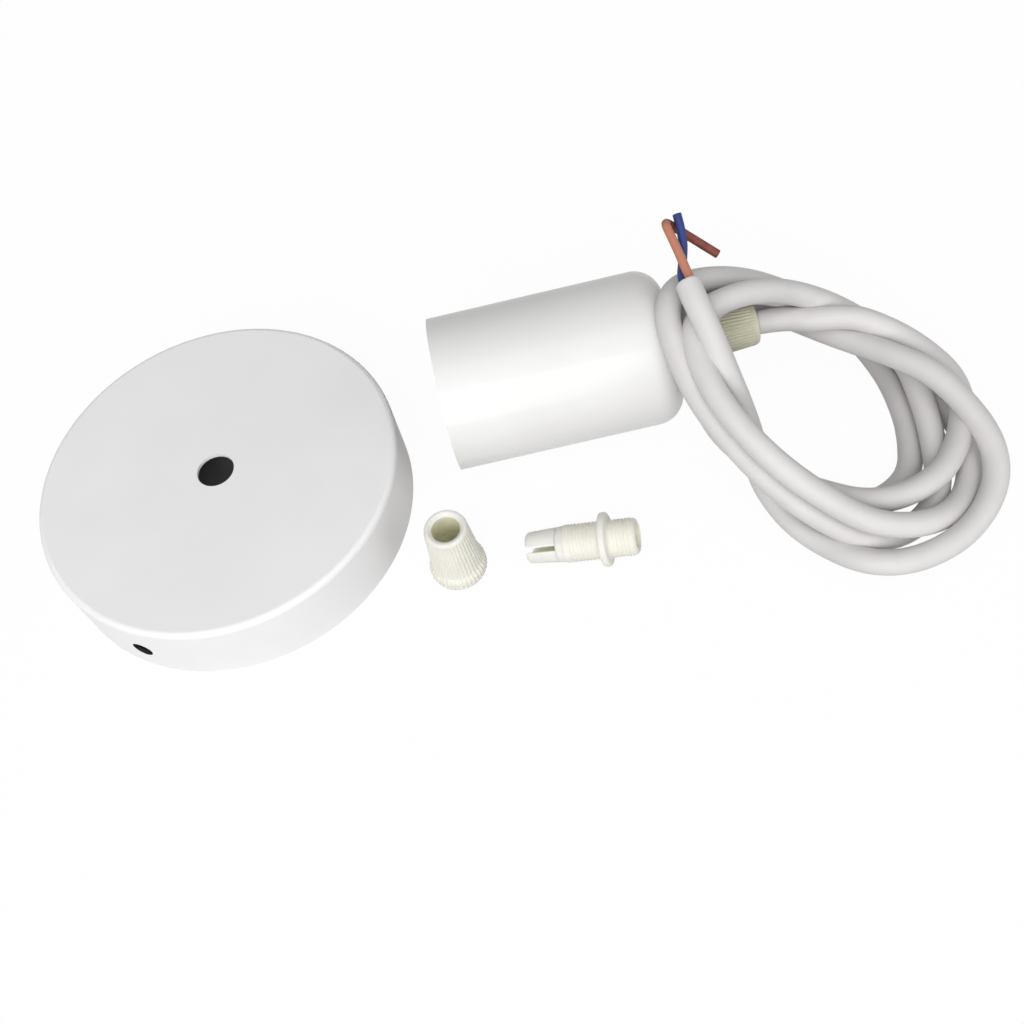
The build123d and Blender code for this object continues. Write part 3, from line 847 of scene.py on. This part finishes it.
def gripJaw(grip, side):
    # Wall of the jaw over its arc: up the outside, round the tip and down the inside; the slot's faces close it
    tipRound = grip["tipRound"]
    low, tipStart = grip["slotBottom"] - grip["jawOverlap"], grip["frontEnd"] - tipRound
    quarter = np.linspace(0, np.pi / 2, grip["tipRows"])[1:]
    straight = np.linspace(low, tipStart, grip["jawRows"])
    height = np.concatenate([straight, tipStart + tipRound * np.sin(quarter)])
    tip = 1 - np.sqrt(1 - np.clip((height - tipStart) / tipRound, 0, 1)**2)
    outerRadius = jawRadius(grip, height) - grip["jawInset"] - grip["tipFall"] * tip
    innerRadius = grip["boreRadius"] + grip["boreInset"] + grip["tipFlare"] * tip
    halfSlot = grip["slotWidth"] / 2 + grip["tipSpread"] * tip
    radius = np.concatenate([outerRadius, innerRadius[::-1]])[:, None]
    level = np.concatenate([height, height[::-1]])[:, None]
    half = np.concatenate([halfSlot, halfSlot[::-1]])[:, None]
    # Painted light: the jaws' inner faces take the bore colour of the loose plastic
    onBore = np.repeat([0.0, 1.0], len(height))[:, None]
    arc = np.linspace(-1, 1, grip["jawColumns"])
    points = around(radius, level, arc * np.arccos(half / radius) + (0 if side > 0 else np.pi))
    rows, columns = points.shape[:2]
    faces = gridFaces(rows, columns, True, False)
    k = np.arange(rows // 2 - 1)
    strip = np.stack([k, k + 1, rows - 2 - k, rows - 1 - k], axis=-1) * columns
    return points, np.vstack([faces, strip, strip + columns - 1]), onBore * np.ones_like(arc)


def layGrip(points, grip):
    # From the grip's own axes to the table: it lies on the middle of its flange and on its jaw tips
    restLength = grip["frontEnd"] - grip["restFromTip"] + grip["flangeThickness"] / 2
    lean = np.arctan2(grip["flangeRadius"] - grip["tipRadius"], restLength)
    onTable = Matrix.Rotation(np.radians(grip["turn"]), 3, "Z")
    lying = Matrix.Rotation(-np.pi / 2 - lean, 3, "Y")
    rolled = Matrix.Rotation(np.radians(grip["roll"]), 3, "Z")
    turn = np.array(onTable @ lying @ rolled)
    return (points - (0, 0, grip["frontEnd"])) @ turn.T + (*grip["place"], 0)


def makeLooseGrip(grip):
    # The shank and its two jaws as one piece, set down where the CAD piece rests
    shank, faces, groove = gripShank(grip)
    parts = [shank.reshape(-1, 3)]
    allFaces = [faces]
    grooves = [groove.ravel()]
    for side in (1, -1):
        jaw, jawFaces, onBore = gripJaw(grip, side)
        allFaces.append(jawFaces + sum(len(p) for p in parts))
        parts.append(jaw.reshape(-1, 3))
        grooves.append(onBore.ravel())
    lying = layGrip(np.vstack(parts), grip)
    nodeLow = boxMiddle("canopy_grip_body")[0]
    lying[:, 2] += nodeLow[2] - lying[:, 2].min()
    groove = np.concatenate(grooves)
    return makePiece("looseGripBody", lying, np.vstack(allFaces), "grip_plastic", "kit", groove)


looseGrip = makeLooseGrip(gripBody)
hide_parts("canopy_grip_body")
print("loose grip body made")

# Rolled lamp thread

rolledShell = {
    "pitch": 3.6,
    "middleRadius": 13.2,
    "wave": 0.55,
    "sheet": 0.4,
    "lipFade": (0.8, 2.56),                  # from the lip, and up to the floor, where the thread fades
    "floorFade": (2.4, 1.2),
    "floorHole": 8.5,
    "cornerRadius": 13.55,
    "rows": 130,
    "columns": 160,
}


def shellSurface(shell, length):
    # Sheet of even thickness: r = middle + wave * cos(2 pi z / pitch - turn), straight at the lip and the floor
    sheet = shell["sheet"]
    turn = fullTurn(shell["columns"])
    height = np.linspace(0, length, shell["rows"])[:, None]
    floorFade = [length - depth for depth in shell["floorFade"]]
    share = ease(height, *shell["lipFade"]) * (1 - ease(height, *floorFade))
    wave = shell["wave"] * share * np.cos(2 * np.pi * height / shell["pitch"] - turn)
    base = shell["cornerRadius"] + (shell["middleRadius"] - shell["cornerRadius"]) * share
    inside = around(base + wave, height * (1 - sheet / length), turn)
    outside = around(base + wave + sheet, height, turn)
    floorHole = around(np.full((2, 1), shell["floorHole"]), np.array([[length], [length - sheet]]), turn)
    points = np.concatenate([outside, floorHole, inside[::-1]])
    return points, gridFaces(*points.shape[:2], True, True)


low, high, middle = boxMiddle("screw_shell")
shellPoints, shellFaces = shellSurface(rolledShell, high[0] - low[0])
inSleeve = placeAlong(shellPoints, (low[0], middle[1], middle[2]), "x")
lampThread = makePiece("rolledLampThread", inSleeve, shellFaces, "brass", "kit")
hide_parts("screw_shell")
print("lamp thread made:", len(shellFaces), "faces")

# Table, world and lamps

studio = {
    "floorSize": 6.0,
    "floorWhite": 0.92,                      # share of plain white in the table as the camera sees it
    "whiteLevel": 1.045,
    "tableTone": 0.45,
    "coveredBy": ("canopy", "canopy_grip_nut"),   # under these the table is not lit, so no white shows there
    "coverEdge": 1.0,                        # millimetres
    "ambient": 0.33,
    "lamps": (                               # name, place, aim, size and power
        ("frontSoftbox", (-0.40, -1.15, 0.68), (0.03, -0.01, 0.02), 1.3, 14.6),
        ("highSoftbox", (0.10, -0.55, 1.15), (0.02, 0.0, 0.0), 1.2, 5.2),
        ("sideSoftbox", (1.00, -0.55, 0.45), (0.03, 0.0, 0.01), 0.7, 2.3),
    ),
}


def seenDirectly(flow):
    # 1 for rays from the camera, from mirrors and through glass, 0 for the rest
    rays = [flow.make("ShaderNodeLightPath", output=name)
            for name in ("Is Camera Ray", "Is Glossy Ray", "Is Transmission Ray")]
    return flow.maths("MAXIMUM", flow.maths("MAXIMUM", rays[0], rays[1]), rays[2])


def makeFloor(settings):
    # The camera and mirrors see it as nearly plain white; all other rays meet a grey table
    half = settings["floorSize"] / 2
    corners = [(-half, -half, 0), (half, -half, 0), (half, half, 0), (-half, half, 0)]
    mesh = bpy.data.meshes.new("whiteTable")
    mesh.from_pydata(corners, [], [(0, 1, 2, 3)])
    material = bpy.data.materials.new("whiteTable")
    material.use_nodes = True
    tree = material.node_tree
    tree.nodes.clear()
    flow = Flow(tree)
    diffuse = flow.make("ShaderNodeBsdfDiffuse", None, {"Color": (*[settings["tableTone"]] * 3, 1.0)})
    white = flow.make("ShaderNodeEmission", None, {"Strength": settings["whiteLevel"]})
    share = seenDirectly(flow) * settings["floorWhite"]
    place = flow.make("ShaderNodeTexCoord", output=3)
    for name in settings["coveredBy"]:
        low, high, middle = boxMiddle(name)
        fromMiddle = flow.make("ShaderNodeVectorMath", {"operation": "DISTANCE"},
                               {0: place, 1: (middle[0] * mm, middle[1] * mm, 0.0)}, 1)
        share = share * (fromMiddle > ((high[0] - low[0]) / 2 - settings["coverEdge"]) * mm)
    surface = flow.make("ShaderNodeMixShader", None, {0: share, 1: diffuse, 2: white})
    output = tree.nodes.new("ShaderNodeOutputMaterial")
    tree.links.new(surface.socket, output.inputs["Surface"])
    mesh.materials.append(material)
    floor = bpy.data.objects.new("whiteTable", mesh)
    scene.collection.objects.link(floor)


def makeWorld(settings):
    # Plain white to the camera and to mirrors, dimmer as a light
    world = bpy.data.worlds.new("studioWorld")
    world.use_nodes = True
    flow = Flow(world.node_tree)
    background = world.node_tree.nodes["Background"]
    background.inputs["Color"].default_value = (1.0, 1.0, 1.0, 1.0)
    strength = settings["ambient"] + (1.0 - settings["ambient"]) * seenDirectly(flow)
    world.node_tree.links.new(strength.socket, background.inputs["Strength"])
    scene.world = world


def makeLamp(name, place, aim, size, power):
    # A square softbox that faces its aim
    light = bpy.data.lights.new(name, "AREA")
    light.size = size
    light.energy = power
    piece = bpy.data.objects.new(name, light)
    scene.collection.objects.link(piece)
    back = np.subtract(place, aim)
    back /= np.linalg.norm(back)
    right = np.cross((0, 0, 1), back)
    right /= np.linalg.norm(right)
    turn = Matrix(np.array([right, np.cross(back, right), back]).T.tolist())
    piece.matrix_world = Matrix.Translation(place) @ turn.to_4x4()


makeFloor(studio)
makeWorld(studio)
for lamp in studio["lamps"]:
    makeLamp(*lamp)
print("studio lit")
